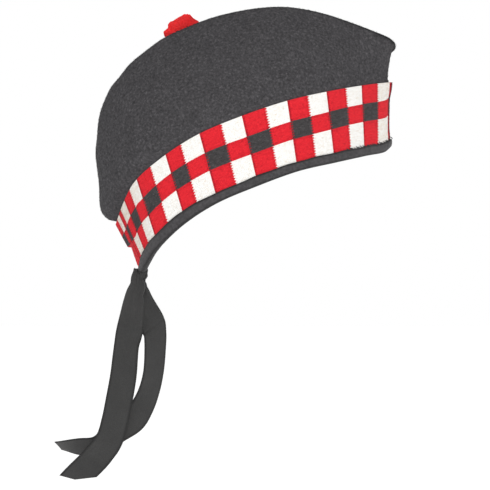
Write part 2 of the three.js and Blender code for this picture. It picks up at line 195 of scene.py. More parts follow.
def wall_at(places, height):
    """The wall behind the band, height 0 at the rim and 1 at the band's top, and the ways out and up."""
    places, height = np.broadcast_arrays(np.asarray(places, float), np.asarray(height, float))
    step = 0.01

    def at(where):
        low = ring_at("rim", where)
        return low + height[..., None] * (ring_at("band", where) - low)

    along = at(places + step) - at(places - step)
    upward = ring_at("band", places) - ring_at("rim", places)
    out = unit(np.cross(upward, along))
    return moved(at(places), (out, -wall_dent(places, height))), out, unit(upward)


def rib_value(column, places):
    """A column of the ribs' table at places of the right side."""
    return np.interp(places, np.arange(BACK + 1), RIBS[:, column])


# Meshes
def grid_faces(index, around=False):
    """Quads between neighbours of a table of vertex numbers."""
    if around:
        index = np.concatenate([index, index[:1]])
    a, b = index[:-1, :-1], index[1:, :-1]
    c, d = index[1:, 1:], index[:-1, 1:]
    return np.stack([a, b, c, d], axis=-1).reshape(-1, 4)


def sweep(loops, ring=False):
    """Points and quads of closed loops (n, m, 3) joined in turn, with flat ends unless they form a ring."""
    count, size = loops.shape[:2]
    index = np.arange(count * size).reshape(count, size)
    index = np.concatenate([index, index[:, :1]], axis=1)
    faces = [grid_faces(index, around=ring)]
    if not ring:
        k = np.arange(size // 2 - 1)
        cap = np.stack([k, k + 1, size - 2 - k, size - 1 - k], axis=1)
        faces += [cap, (cap + (count - 1) * size)[:, ::-1]]
    return loops.reshape(-1, 3), np.concatenate(faces)


def triangles(quads):
    """Each quad cut in two."""
    return np.concatenate([quads[:, [0, 1, 2]], quads[:, [0, 2, 3]]])


def outward(points, faces):
    """The faces, turned round if their surface faces inwards."""
    corner = points[faces]
    area = np.cross(corner[:, 1] - corner[:, 0], corner[:, 2] - corner[:, 0])
    volume = np.einsum("ij,ij->", corner[:, 0] - points.mean(axis=0), area)
    return faces if volume > 0 else faces[:, ::-1]


def add_object(name, data):
    obj = bpy.data.objects.new(name, data)
    bpy.context.scene.collection.objects.link(obj)
    return obj


def add_piece(name, points, faces, materials, paint=None, shade=None, flat_map=None, smooth=True):
    """A mesh object.

    paint is the material of each face and shade a value for each vertex, given once for each group of them,
    and flat_map is each vertex's place on the cloth.
    """
    points, corners = points.reshape(-1, 3), faces.shape[-1]
    used, inverse = np.unique(faces, return_inverse=True)
    faces = inverse.reshape(-1, corners)
    mesh = bpy.data.meshes.new(name)
    mesh.vertices.add(len(used))
    mesh.vertices.foreach_set("co", (points[used] * MM).astype(np.float32).ravel())
    mesh.loops.add(faces.size)
    mesh.loops.foreach_set("vertex_index", faces.astype(np.int32).ravel())
    mesh.polygons.add(len(faces))
    mesh.polygons.foreach_set("loop_start", np.arange(0, faces.size, corners, dtype=np.int32))
    mesh.polygons.foreach_set("use_smooth", np.full(len(faces), smooth))
    for material in materials:
        mesh.materials.append(material)
    if paint is not None:
        paint = np.repeat(paint, len(faces) // len(paint))
        mesh.polygons.foreach_set("material_index", paint.astype(np.int32))
    if shade is not None:
        shade = np.repeat(shade, len(points) // len(shade))
        layer = mesh.attributes.new("shade", "FLOAT", "POINT")
        layer.data.foreach_set("value", shade[used].astype(np.float32))
    if flat_map is not None:
        flat_map = flat_map.reshape(-1, 2)[used][faces.ravel()]
        layer = mesh.uv_layers.new(name="cloth")
        layer.data.foreach_set("uv", flat_map.astype(np.float32).ravel())
    mesh.update(calc_edges=True)
    return add_object(name, mesh)


# Materials
class Nodes:
    """The node tree of a material or world, with short ways to add and join nodes."""

    # A mix node's sockets for its share, its two colours and their mixture
    MIX_INPUTS = (0, 6, 7)
    MIX_RESULT = 2

    def __init__(self, owner, shader):
        owner.use_nodes = True
        self.tree = owner.node_tree
        self.shader = self.tree.nodes[shader]

    def add(self, kind, settings=None, **values):
        node = self.tree.nodes.new(kind)
        for key, value in (settings or {}).items():
            setattr(node, key, value)
        for key, value in values.items():
            self.put(node, key.replace("_", " ").title(), value)
        return node

    def set(self, socket, value):
        self.put(self.shader, socket, value)

    def put(self, node, socket, value):
        target = node.inputs[socket]
        if isinstance(value, bpy.types.NodeSocket):
            self.tree.links.new(value, target)
        else:
            target.default_value = value

    def math(self, operation, first, second=0.0, third=0.0):
        node = self.add("ShaderNodeMath", {"operation": operation})
        for number, value in enumerate((first, second, third)):
            self.put(node, number, value)
        return node.outputs[0]

    def weighed(self, first, first_weight, second, second_weight):
        return self.math("MULTIPLY_ADD", first, first_weight, self.math("MULTIPLY", second, second_weight))

    def noise(self, scale, detail=2.0, roughness=0.5):
        place = self.add("ShaderNodeTexCoord").outputs["Object"]
        node = self.add("ShaderNodeTexNoise", vector=place, scale=scale, detail=detail, roughness=roughness)
        return node.outputs["Fac"]

    def ramp(self, value, stops):
        node = self.add("ShaderNodeValToRGB", fac=value)
        elements = node.color_ramp.elements
        stops = list(stops)
        while len(elements) < len(stops):
            elements.new(0.5)
        for element, (position, colour) in zip(elements, stops):
            element.position = position
            element.color = (*colour, 1.0)
        return node.outputs["Color"]

    def darkened(self, colour, *shades):
        """The colour multiplied by each shade in turn."""
        for shade in shades:
            node = self.add("ShaderNodeMix", {"data_type": "RGBA", "blend_type": "MULTIPLY"})
            for number, value in zip(self.MIX_INPUTS, (1.0, colour, shade)):
                self.put(node, number, value)
            colour = node.outputs[self.MIX_RESULT]
        return colour

    def shade(self):
        return self.add("ShaderNodeAttribute", {"attribute_name": "shade"}).outputs["Fac"]

    def cloth_map(self):
        place = self.add("ShaderNodeUVMap", {"uv_map": "cloth"}).outputs["UV"]
        parts = self.add("ShaderNodeSeparateXYZ", vector=place)
        return parts.outputs["X"], parts.outputs["Y"]

    def bump(self, height, distance, strength):
        node = self.add("ShaderNodeBump", height=height, distance=distance, strength=strength)
        self.set("Normal", node.outputs["Normal"])


def new_material(name, roughness, specular, sheen=0.0, sheen_tint=(1.0, 1.0, 1.0)):
    """A material and its nodes."""
    material = bpy.data.materials.new(name)
    nodes = Nodes(material, "Principled BSDF")
    nodes.set("Roughness", roughness)
    nodes.set("Specular IOR Level", specular)
    nodes.set("Sheen Weight", sheen)
    nodes.set("Sheen Tint", (*sheen_tint, 1.0))
    return material, nodes


def grey(value, warmth=0.0):
    """A grey of this value, with a little more red than blue if it is warm."""
    return (value * (1 + warmth), value, value * (1 - warmth))


def felt_material():
    """Milled wool, flecked and clouded, with painted shade on its creases."""
    tint = (0.7, 0.7, 0.75)
    material, nodes = new_material("milled_wool", roughness=0.95, specular=0.1, sheen=0.05, sheen_tint=tint)
    fleck = nodes.noise(520.0, detail=3.0, roughness=0.6)
    grain = nodes.noise(1900.0)
    tone = nodes.ramp(nodes.weighed(fleck, 0.62, grain, 0.38), [
        (0.34, (0.0305, 0.0291, 0.0310)),
        (0.47, (0.0482, 0.0462, 0.0489)),
        (0.56, (0.0615, 0.0590, 0.0623)),
        (0.70, (0.124, 0.1187, 0.1250)),
    ])
    cloud = nodes.ramp(nodes.noise(70.0, detail=3.0), [(0.3, grey(0.90)), (0.7, grey(1.0))])
    # Painted shade along the creases
    crease = nodes.ramp(nodes.shade(), [(0.0, grey(1.0)), (0.9, grey(0.30))])
    nodes.set("Base Color", nodes.darkened(tone, cloud, crease))
    nodes.bump(nodes.weighed(fleck, 0.7, grain, 0.5), distance=0.0004, strength=0.55)
    return material


def fibre_material():
    """Single wool fibres, most of them dark and a few pale."""
    material, nodes = new_material("wool_fibre", roughness=0.9, specular=0.1)
    stops = [(0.0, grey(0.020)), (0.55, grey(0.048)), (0.9, grey(0.10)), (1.0, grey(0.20))]
    nodes.set("Base Color", nodes.ramp(nodes.shade(), stops))
    return material


def yarn_material(name, tones, sheen=0.08, sheen_tint=(1.0, 1.0, 1.0)):
    """Woolly yarn in four tones, from the darkest, which painted shade reaches, to its lightest fibres."""
    material, nodes = new_material(name, roughness=0.92, specular=0.12, sheen=sheen, sheen_tint=sheen_tint)
    fuzz = nodes.noise(1500.0, detail=3.0, roughness=0.65)
    tone = nodes.weighed(nodes.shade(), 0.55, fuzz, 0.45)
    nodes.set("Base Color", nodes.ramp(tone, zip((0.03, 0.22, 0.5, 0.75), tones)))
    nodes.bump(nodes.noise(3200.0), distance=0.00025, strength=0.5)
    return material


# Width of one cross rib of the ribbons
RIBBON_RIB = 0.75


def ribbon_material(name, tones, mottle, selvedge):
    """Fine cross-ribbed ribbon in three tones, unevenly worn, and darker along its woven edges."""
    material, nodes = new_material(name, roughness=0.72, specular=0.3, sheen=0.08)
    along, across = nodes.cloth_map()
    turn = nodes.math("MULTIPLY", along, 2 * math.pi / RIBBON_RIB)
    rib = nodes.math("MULTIPLY_ADD", nodes.math("SINE", turn), 0.5, 0.5)
    tone = nodes.weighed(rib, 0.35, nodes.noise(1400.0, detail=3.0), 0.65)
    colour = nodes.ramp(tone, zip((0.15, 0.50, 0.85), tones))
    cloud = nodes.ramp(nodes.noise(70.0), [(0.3, grey(0.86)), (0.7, grey(1.04))])
    worn = nodes.ramp(nodes.noise(430.0), [(0.34, grey(1 - mottle)), (0.66, grey(1 + mottle))])
    start, end, darkest = selvedge
    edge = nodes.ramp(nodes.math("ABSOLUTE", across), [(start, grey(1.0)), (end, grey(darkest))])
    nodes.set("Base Color", nodes.darkened(colour, cloud, worn, edge))
    nodes.bump(rib, distance=0.00012, strength=0.8)
    return material


FELT = felt_material()
FELT_FIBRE = fibre_material()
WHITE_YARN = yarn_material("white_yarn", [
    (0.38, 0.31, 0.27), (0.63, 0.56, 0.48), (0.745, 0.74, 0.72), (0.80, 0.80, 0.79),
])
RED_YARN = yarn_material("red_yarn", [
    (0.10, 0.006, 0.014), (0.36, 0.010, 0.018), (0.605, 0.0165, 0.0265), (0.69, 0.025, 0.035),
])
DARK_YARN = yarn_material("dark_yarn", [
    grey(0.014), (0.025, 0.0235, 0.024), (0.046, 0.0430, 0.0440), (0.080, 0.075, 0.077),
])
RIBBON = ribbon_material("ribbon", [
    grey(0.0160, 0.014), grey(0.0290, 0.014), grey(0.0460, 0.014),
], mottle=0.03, selvedge=(0.78, 0.90, 0.50))
TAPE = ribbon_material("binding_tape", [
    (0.0225, 0.0211, 0.0225), (0.0385, 0.0366, 0.0387), (0.062, 0.0582, 0.062),
], mottle=0.28, selvedge=(0.50, 0.88, 0.25))
TOORIE_YARN = yarn_material("toorie_yarn", [
    (0.55, 0.012, 0.016), (0.86, 0.024, 0.028), (0.95, 0.040, 0.044), (0.98, 0.060, 0.062),
], sheen=0.35, sheen_tint=(1.0, 0.16, 0.16))


# Crown: outer skin, inner skin one wall inside it, and the edge round the rim.
# Columns of points between one rib and the next, and rows in the wall behind the band
CROWN_COLUMNS = [10, 12, 12, 12, 12, 12, 12, 12, 20]
CROWN_WALL_ROWS = 25
# Rows in each stretch of a rib above the band: to the lip, belly, shoulder, ridge, pleat's slope and floor
CROWN_SIDE_ROWS = [6, 12, 12, 8, 8, 8]
TO_RIDGE, FROM_RIDGE = 3, 4
BROW_ROWS = slice(sum(CROWN_SIDE_ROWS[:TO_RIDGE]), sum(CROWN_SIDE_ROWS[:FROM_RIDGE]))
RIDGE_ROW = CROWN_WALL_ROWS + BROW_ROWS.stop
RIDGE_GUIDE, FLOOR_GUIDE = 5, 7
# Painted shade on the felt's creases along the ridge and down the front and back, and how wide it reaches
FOLD_WIDTH = 2.2
# How often the ways inwards are evened out, so that the inner skin doesn't fold over itself
INSIDE_CALMING = 60
# Depth of the soft dents, the broad ones' share of it, and the rows above the band over which they set in
SOFT_DENT = 0.35
BROAD_DENTS = 0.6
DENT_ROWS = (4, 16)


def swollen_ridge(places):
    """The ridge with its low swells, which stand out square to its line in the side view."""
    step = 0.05
    before, after = (ring_at("ridge", np.clip(places + shift, 0, BACK)) for shift in (-step, step))
    along = after - before
    out = unit(stacked(along[:, 2], 0.0, -along[:, 0]))
    centre, reach, height = RIDGE_SWELLS.T
    swell = np.sum(height * bell(places[:, None] - centre, reach), axis=1)
    return moved(ring_at("ridge", places), (out, swell))


def front_share(places):
    """1 on the front fold, fading to 0 beside it, as a column."""
    return smoothstep(places, FRONT_SHOULDER_END, 0.0)[:, None]


def rib_guides(places):
    """The points (n, 9, 3) that each rib of the right side runs through."""
    rim, band = ring_at("rim", places), ring_at("band", places)
    ridge, pleat = swollen_ridge(places), ring_at("pleat", places)
    step = 0.04
    along = ring_at("band", places + step) - ring_at("band", places - step)
    rise = ridge - band
    outside = unit(np.cross(rise, along))
    lip, belly = (rib_value(column, places)[:, None] for column in (LIP, BELLY))
    length = np.linalg.norm(rise, axis=1, keepdims=True)

    def swollen(share, swell):
        return band + rise * share + outside * swell

    lip_rise = LIP_RISE + LIP_SLOPE * lip + setting_in(places, *LIP_BACK_RISE)[:, None]
    lip_point = swollen(lip_rise / length, lip)
    side = swollen(BELLY_AT, belly)
    front = front_share(places)
    shoulder_at = SHOULDER_AT + (FRONT_SHOULDER_AT - SHOULDER_AT) * front
    shoulder_swell = SHOULDER_SWELL + (FRONT_SHOULDER_SWELL - SHOULDER_SWELL) * front
    shoulder = swollen(shoulder_at, belly * shoulder_swell)
    slope = ridge + (pleat - ridge) * PLEAT_SLOPE_AT
    return np.stack([rim, band, lip_point, side, shoulder, ridge, slope, pleat, slope * MIRROR], axis=1)


def crown_skin():
    """The outer skin as a table (column, row, 3) of points once round the hat."""
    steps = [np.arange(steps) / steps for steps in CROWN_COLUMNS]
    steps[-1] = 1 - (1 - steps[-1]) ** 2
    places = np.concatenate([index + step for index, step in enumerate(steps)] + [[BACK]])
    guides = rib_guides(places)
    wall = np.arange(CROWN_WALL_ROWS) / CROWN_WALL_ROWS
    low = wall_at(places[:, None], wall[None, :])[0]
    shares = [np.arange(rows) / rows for rows in CROWN_SIDE_ROWS]
    shares[TO_RIDGE] = 1 - (1 - shares[TO_RIDGE]) ** 2
    shares[FROM_RIDGE] = shares[FROM_RIDGE] ** 2
    sag = np.sin(np.pi * shares[0]) * setting_in(places, *LIP_BACK_SAG)[:, None]
    swell = np.sin(np.pi * shares[TO_RIDGE]) * BEAK_SWELL * front_share(places)
    along = np.concatenate([part + 1 + share for part, share in enumerate(shares)] + [[len(shares) + 1]])
    upper = curve(guides, along / (guides.shape[1] - 1))
    upward = wall_at(places, np.ones(len(places)))[2]
    ahead = unit(guides[:, RIDGE_GUIDE] - guides[:, FLOOR_GUIDE])
    lip_rows = slice(CROWN_SIDE_ROWS[0])
    upper[:, lip_rows] = moved(upper[:, lip_rows], (upward[:, None], -sag))
    upper[:, BROW_ROWS] = moved(upper[:, BROW_ROWS], (ahead[:, None], swell))
    right = np.concatenate([low, upper], axis=1)
    right[[0, -1], :, 1] = 0.0
    return np.concatenate([right, right[1:-1][::-1] * MIRROR])


def with_row_beyond(table):
    """The table with one more row beyond the pleat's floor, which is the other side's row before it."""
    mate = (-np.arange(len(table))) % len(table)
    return np.concatenate([table, table[mate][:, -2:-1]], axis=1)


def skin_normals(skin):
    """The ways out of the skin at its points."""
    along = np.roll(skin, -1, axis=0) - np.roll(skin, 1, axis=0)
    longer = with_row_beyond(skin)
    upward = np.concatenate([longer[:, 1:2] - longer[:, :1], longer[:, 2:] - longer[:, :-2]], axis=1)
    normals = np.cross(upward, along)
    ends = [0, len(skin) // 2]
    normals[ends, -1] = normals[ends, -2]
    return unit(normals)


def calmed(normals, passes):
    """The normals, evened out with their neighbours a number of times."""
    for _ in range(passes):
        above = with_row_beyond(normals)[:, 1:]
        below = np.concatenate([normals[:, :1], normals[:, :-1]], axis=1)
        normals = unit(normals + above + below + np.roll(normals, 1, axis=0) + np.roll(normals, -1, axis=0))
    return normals


def painted_fold_shade(skin):
    """Painted shade: 1 on the creases along the ridge and down the front and back, fading to 0 beside them.
    """
    run = run_along(skin)
    from_ridge = run - run[:, RIDGE_ROW:RIDGE_ROW + 1]
    from_middle = np.where(np.arange(skin.shape[1]) <= RIDGE_ROW, skin[..., 1], np.inf)
    return bell(np.minimum(np.abs(from_ridge), np.abs(from_middle)), FOLD_WIDTH)


def soft_dents(points):
    """Low hollows and swells of hand-shaped felt, as waves of uneven lengths."""
    x, y, z = points[..., 0], points[..., 1], points[..., 2]
    small = np.sin(x / 13.0 + 0.6 + 0.4 * np.sin(z / 21.0)) * np.sin(z / 17.0 + y / 37.0 + 1.1)
    broad = np.sin(x / 29.0 - z / 23.0 + y / 19.0)
    return SOFT_DENT * (small + BROAD_DENTS * broad) / (1 + BROAD_DENTS)


skin = crown_skin()
normals = skin_normals(skin)
columns, rows = skin.shape[:2]
raised = smoothstep(np.arange(rows) - CROWN_WALL_ROWS, *DENT_ROWS)
skin = moved(skin, (normals, soft_dents(skin) * raised))
inside = skin - FELT_WALL * calmed(normals, INSIDE_CALMING)
number = np.arange(columns * rows).reshape(columns, rows)
half = columns // 2
number[half + 1:, -1] = number[1:half, -1][::-1]
count = columns * rows
outer_faces = grid_faces(number, around=True)
rim_strip = np.stack([number[:, 0], number[:, 0] + count], axis=1)
crown_faces = np.concatenate([outer_faces[:, ::-1], outer_faces + count, grid_faces(rim_strip, around=True)])
crown_points = np.concatenate([skin, inside]).reshape(-1, 3)
# Painted shade along the outer skin's creases, none on the inner skin
crown_shade = np.concatenate([painted_fold_shade(skin).ravel(), np.zeros(count)])
crown = add_piece("crown_felt", crown_points, outward(crown_points, crown_faces), [FELT], shade=crown_shade)
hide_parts("crown")

# Felt fibres: short strands lying on the crown's outside
FIBRE_COUNT = 42000
FIBRE_LENGTH = (1.2, 3.0)
FIBRE_WIDTH = 0.09
# How deep a fibre is rooted, how high it lifts, how far its tip lifts as a share of that, and how it bends
FIBRE_ROOT = 0.05
FIBRE_LIFT = (0.08, 0.45)
FIBRE_TIP_LIFT = (0.0, 1.2)
FIBRE_BEND = 0.35
# Where along it the bend lies, and its tip's share of that bend
FIBRE_MIDDLE = 0.5
FIBRE_TIP_BEND = 0.2
# How its width lies along the felt and out of it
FIBRE_SLANT = (0.6, 0.8)
# Spread of the fibres' shades, and how much the painted crease shade darkens them
FIBRE_SHADES = (2.0, 3.0)
FIBRE_CREASE_SHADE = 0.85
FIRST_FIBRE_ROW = CROWN_WALL_ROWS + 2


def felt_fibres():
    """Bent, pointed strips of three triangles, spread evenly over the skin, and their shades."""
    corner = skin.reshape(-1, 3)[outer_faces]
    steady = normals.reshape(-1, 3)[outer_faces]
    open_faces = outer_faces[:, 0] % rows >= FIRST_FIBRE_ROW
    # The painted crease shade under each face
    crease = crown_shade[outer_faces][..., None]
    corner, steady, crease = (table[open_faces] for table in (corner, steady, crease))
    area = np.linalg.norm(np.cross(corner[:, 2] - corner[:, 0], corner[:, 3] - corner[:, 1]), axis=1)
    face = random.choice(len(corner), FIBRE_COUNT, p=area / area.sum())
    u, v = random.random((2, FIBRE_COUNT, 1))
    weights = ((1 - u) * (1 - v), u * (1 - v), u * v, (1 - u) * v)
    tables = (corner, steady, crease)
    root, out, crease = (sum(w * table[face, k] for k, w in enumerate(weights)) for table in tables)
    out = unit(out)
    way = random.normal(size=(FIBRE_COUNT, 3))
    way = unit(way - out * np.sum(way * out, axis=1, keepdims=True))
    side = np.cross(out, way)
    length = random.uniform(*FIBRE_LENGTH, (FIBRE_COUNT, 1))
    lift = random.uniform(*FIBRE_LIFT, (FIBRE_COUNT, 1))
    bend = random.normal(scale=FIBRE_BEND, size=(FIBRE_COUNT, 1)) * length
    start = root - out * FIBRE_ROOT
    middle = root + (way * length + side * bend) * FIBRE_MIDDLE + out * lift
    tip_lift = lift * random.uniform(*FIBRE_TIP_LIFT, (FIBRE_COUNT, 1))
    tip = root + way * length + out * tip_lift + side * bend * FIBRE_TIP_BEND
    wide = (side * FIBRE_SLANT[0] + out * FIBRE_SLANT[1]) * FIBRE_WIDTH / 2
    points = np.stack([start - wide, start + wide, middle + wide, middle - wide, tip], axis=1)
    base = points.shape[1] * np.arange(FIBRE_COUNT)[:, None]
    faces = np.concatenate([base + [0, 1, 2], base + [0, 2, 3], base + [3, 2, 4]])
    shade = random.beta(*FIBRE_SHADES, FIBRE_COUNT) * (1 - FIBRE_CREASE_SHADE * crease[:, 0])
    return points, faces, shade


points, faces, shade = felt_fibres()
fibres = add_piece("crown_fibres", points, faces, [FELT_FIBRE], shade=shade)

# Diced band: knitted stitches lying along a backing, coloured by a chart.
# Places, in ribs, where the columns of dice meet on the right side, front to back
DICE_EDGES = [
    0.60, 1.52, 2.11, 2.57, 3.06, 3.55, 4.02, 4.50, 4.99, 5.47,
    5.96, 6.49, 6.93, 7.43, 7.91, 8.18, 8.37, 8.54, 8.63, 8.755,
]
# The dicing runs on round the front fold, so the left side starts part of the way into a column
LEFT_START = 0.5
# Width of the slit where the band's ends meet at the back
BAND_SLIT = 1.0
# The band's lower edge above the rim and its upper edge below the wall's top, and how both change at the back
BAND_LOW = 4.0
BAND_LOW_BACK = (-3.2, 8.0, 8.9)
BAND_TOP = 0.1
BAND_TOP_BACK = (1.3, 4.0, 8.0)
# Width of a course of stitches, and the share of the wall's height at which it is measured
COURSE_WIDTH = 1.6
COURSE_HEIGHT = 0.55
COURSE_SAMPLES = 21
FEWEST_COURSES = 3
# Rows of stitches in each row of dice from the rim up, and the yarn in its two kinds of column
WHITE, RED, DARK = 0, 1, 2
CHART = [(10, WHITE, RED), (7, RED, DARK), (8, WHITE, RED)]
CHART_YARN = np.repeat([yarns for _, *yarns in CHART], [size for size, *_ in CHART], axis=0)
CHART_ROWS = np.cumsum([0] + [size for size, *_ in CHART])
STITCH_ROWS = CHART_ROWS[-1]
# Place in ribs, and the lower and upper edge of the middle row of dice above the rim
ROW_EDGES = np.array([
    (0.0, 25.8, 39.5), (2.6, 25.6, 39.5), (3.6, 24.2, 38.2), (4.8, 23.9, 38.0),
    (6.0, 24.8, 39.1), (7.6, 25.8, 39.9), (8.1, 25.0, 39.2), (8.3, 23.6, 37.0),
    (8.45, 21.0, 35.0), (8.65, 20.4, 31.2), (9.0, 20.4, 28.6),
])
# Behind this place the band's ends are drawn in and the lowest dice show red alone
NAPE_RED = 8.6
# How far out the backing's face lies, and its shade
BACKING_FACE = GAP + 1.35
BACKING_SHADE = 0.3
# How far the band stands away from the front fold, and between which shares of its height that sets in
FRONT_FLARE = (1.0, 0.75, 1.0)
# Mean shade of the stitches and its spread
STITCH_SHADE = (0.52, 0.12)
# Painted shade: how much darker the red is along its smooth and its scalloped border, and where rows of dice
# meet
BORDER_SHADE = (0.50, 0.20)
ROW_SHADE = 0.16
# How much creamier the white gets at the back and the front, how much painted shade darkens all yarn on the
# front fold, and between which places that sets in
NAPE_CREAM = (0.40, 7.5, 8.5)
FRONT_CREAM = (0.22, 2.6, 1.2)
FRONT_FOLD_SHADE = (0.95, 0.60, 0.38)


def dice_edges():
    """Edges of the dice columns from the back, by the right, front and left, and each column's kind."""
    step = 0.01
    seam, beside = ring_at("rim", [BACK, BACK - step])
    end = BACK - BAND_SLIT / 2 * step / np.linalg.norm(beside - seam)
    last = len(DICE_EDGES) - 1
    left = np.interp(LEFT_START + np.arange(last), np.arange(last + 1), DICE_EDGES)
    edges = np.concatenate([[end], DICE_EDGES[::-1], -left, [-end]])
    return edges, last - np.arange(len(edges) - 1)


def courses():
    """Places between the courses of stitches, their columns' kinds, and which are first and last in them."""
    places, amounts = [], []
    edges, kinds = dice_edges()
    for start, end in zip(edges[:-1], edges[1:]):
        fine = np.linspace(start, end, COURSE_SAMPLES)
        run = run_along(wall_at(fine, COURSE_HEIGHT)[0])
        amount = max(FEWEST_COURSES, round(run[-1] / COURSE_WIDTH))
        places.append(np.interp(np.arange(amount) * run[-1] / amount, run, fine))
        amounts.append(amount)
    kind = np.repeat(kinds, amounts)
    change = kind[1:] != kind[:-1]
    return np.concatenate(places + [edges[-1:]]), kind, np.append(True, change), np.append(change, True)


def band_point(places, row, rise):
    """Points over the band: row 0 at its lower edge and STITCH_ROWS at its upper, rise out from the wall."""
    length = np.linalg.norm(ring_at("band", places) - ring_at("rim", places), axis=-1)
    folded = from_front(places)
    place, lower, upper = ROW_EDGES.T
    levels = [
        BAND_LOW + setting_in(folded, *BAND_LOW_BACK),
        np.interp(folded, place, lower),
        np.interp(folded, place, upper),
        length - BAND_TOP - setting_in(folded, *BAND_TOP_BACK),
    ]
    height = levels[0]
    for part, (start, end) in enumerate(zip(CHART_ROWS[:-1], CHART_ROWS[1:])):
        height = height + (levels[part + 1] - levels[part]) * np.clip((row - start) / (end - start), 0, 1)
    away = bell(places, FRONT_REACH) * setting_in(height / length, *FRONT_FLARE)
    point, out, _ = wall_at(places, height / length)
    return moved(point, (out, rise + away))


def band_backing(places):
    """A closed strip: its outside, then its inside, each a table of courses by rows."""
    places, row = np.meshgrid(places, np.arange(STITCH_ROWS + 1), indexing="ij")
    outer = band_point(places, row, BACKING_FACE)
    inner = band_point(places, row, GAP)[:, ::-1]
    points, faces = sweep(np.concatenate([outer, inner], axis=1))
    return points, outward(points, faces)


# One leg of a stitch: along it, to its side, and how high it stands
LEG = np.array([
    (-0.74, 0.0, 0.10),
    (-0.36, -0.27, 0.0), (-0.36, 0.0, 1.0), (-0.36, 0.27, 0.0),
    (0.36, -0.27, 0.0), (0.36, 0.0, 1.0), (0.36, 0.27, 0.0),
    (0.74, 0.0, 0.10),
])
LEG_FACES = [(0, 2, 1), (0, 3, 2), (1, 2, 5), (1, 5, 4), (2, 3, 6), (2, 6, 5), (4, 5, 7), (5, 6, 7)]
# A leg's length in courses and width in rows, how far it lies from the stitch's middle and slants towards it
LEG_LENGTH = 1.02
LEG_WIDTH = 0.95
LEG_SPREAD = 0.25
LEG_SLANT = 0.20
LEG_UNEVEN = 0.04
# How far legs sink into the backing and rise from it, and the spread of that
LEG_ROOT = 0.10
LEG_RISE = 0.50
LEG_RISES = (0.88, 1.08)
# A scalloped end reaches further, its tips stand as high as this, and the legs under it lie this much lower
SCALLOP = 1.95
SCALLOP_RISE = 0.7
UNDER_SCALLOP = 0.3
EDGE_MARGIN = 0.02


def band_stitches(places, first, final, smooth_end):
    """Two legs for each stitch, as rounded grains that meet towards the next course."""
    course, row, hand = np.meshgrid(np.arange(len(first)), np.arange(STITCH_ROWS), [-1.0, 1.0], indexing="ij")
    course, row, hand = course.ravel(), row.ravel()[:, None], hand.ravel()[:, None]
    uneven = random.normal(scale=LEG_UNEVEN, size=(2, len(course), 1))
    along, aside, high = LEG.T
    scallops = final & ~smooth_end
    scalloped, under = scallops[course][:, None], np.roll(scallops, 1)[course][:, None]
    reach = 0.5 + along * LEG_LENGTH + uneven[0]
    reach = np.where(scalloped & (along > 0), 0.5 + (reach - 0.5) * SCALLOP, reach)
    reach = np.where((final & smooth_end)[course][:, None], np.minimum(reach, 1.0), reach)
    reach = np.where(first[course][:, None], np.maximum(reach, 0.0), reach)
    level = row + 0.5 + hand * (LEG_SPREAD - LEG_SLANT * along) + aside * LEG_WIDTH + uneven[1]
    level = np.clip(level, EDGE_MARGIN, STITCH_ROWS - EDGE_MARGIN)
    where = places[course][:, None] + np.diff(places)[course][:, None] * reach
    high = np.where(scalloped & (along > 0.5), SCALLOP_RISE, high)
    high = np.where(under & (along < 0), high * UNDER_SCALLOP, high)
    rise = BACKING_FACE - LEG_ROOT + high * LEG_RISE * random.uniform(*LEG_RISES, (len(course), 1))
    points = band_point(where, level, rise)
    faces = np.array(LEG_FACES) + len(LEG) * np.arange(len(course))[:, None, None]
    return points, faces, course, row[:, 0]


places, kind, first, final = courses()


def charted_yarn(row, course):
    """The yarn of stitches, by the chart."""
    drawn_in = (row < CHART_ROWS[1]) & (from_front(places[course]) > NAPE_RED)
    return np.where(drawn_in, RED, CHART_YARN[row, kind[course] % 2])


def backing_yarn(faces):
    """The yarn of each face, by the row and course of its first point."""
    loop = 2 * (STITCH_ROWS + 1)
    course, row = np.divmod(faces.min(axis=1), loop)
    row = np.minimum(row, loop - 1 - row).clip(0, STITCH_ROWS - 1)
    return charted_yarn(row, course.clip(0, len(kind) - 1))


def stitch_shade(yarn, row, course):
    """Each leg's own shade, with painted shade along the red's borders and on the front fold, and creamier
    towards the ends.
    """
    folded = from_front(places[course])
    meeting = np.isin(row, CHART_ROWS[1:-1, None] - [0, 1])
    shade = random.normal(*STITCH_SHADE, len(course))
    # Painted shade along the red's borders and where rows of dice meet
    shade -= (yarn == RED) * (BORDER_SHADE[0] * first + BORDER_SHADE[1] * final)[course]
    shade -= (yarn == RED) * ROW_SHADE * meeting
    shade -= (yarn == WHITE) * (setting_in(folded, *NAPE_CREAM) + setting_in(folded, *FRONT_CREAM))
    # Painted shade on the front fold
    return shade - setting_in(folded, *FRONT_FOLD_SHADE)


YARNS = [WHITE_YARN, RED_YARN, DARK_YARN]
points, faces = band_backing(places)
faces = triangles(faces)
band = add_piece("diced_backing", points, faces, YARNS, paint=backing_yarn(faces), shade=[BACKING_SHADE])
points, faces, course, row = band_stitches(places, first, final, kind % 2 == 0)
yarn = charted_yarn(row, course)
lower_leg = np.arange(len(yarn)) % 2 == 0
yarn[(yarn == DARK) & first[course] & lower_leg] = RED
shade = stitch_shade(yarn, row, course)
stitches = add_piece("diced_stitches", points, faces, YARNS, paint=yarn, shade=shade)
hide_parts("diced_band")

# Rim binding: a tape folded over the edges of crown and band
BINDING_HEIGHT = 6.8
# Place, in ribs, and how much higher the tape's upper edge lies there
BINDING_RISE = [
    (0, -1.2), (0.9, 0.0), (5.8, 0.0), (6.4, 0.8), (7.1, 2.3), (7.7, 2.4),
    (8.1, 1.5), (8.4, 0.2), (8.55, -1.4), (8.7, -3.6), (8.85, -4.8), (9, -5.2),
]
# Place, in ribs, and how much lower the tape's lower edge hangs there, fading out between two heights
BINDING_DROP = [(0, 0.0), (7.9, 0.0), (8.2, 0.5), (8.45, 1.4), (8.7, 2.0), (9, 2.0)]
DROP_LEVELS = (3.0, -0.4)
BINDING_CORNER = 3.0
BINDING_STEP = 2.6
RIM_SAMPLES = 1441
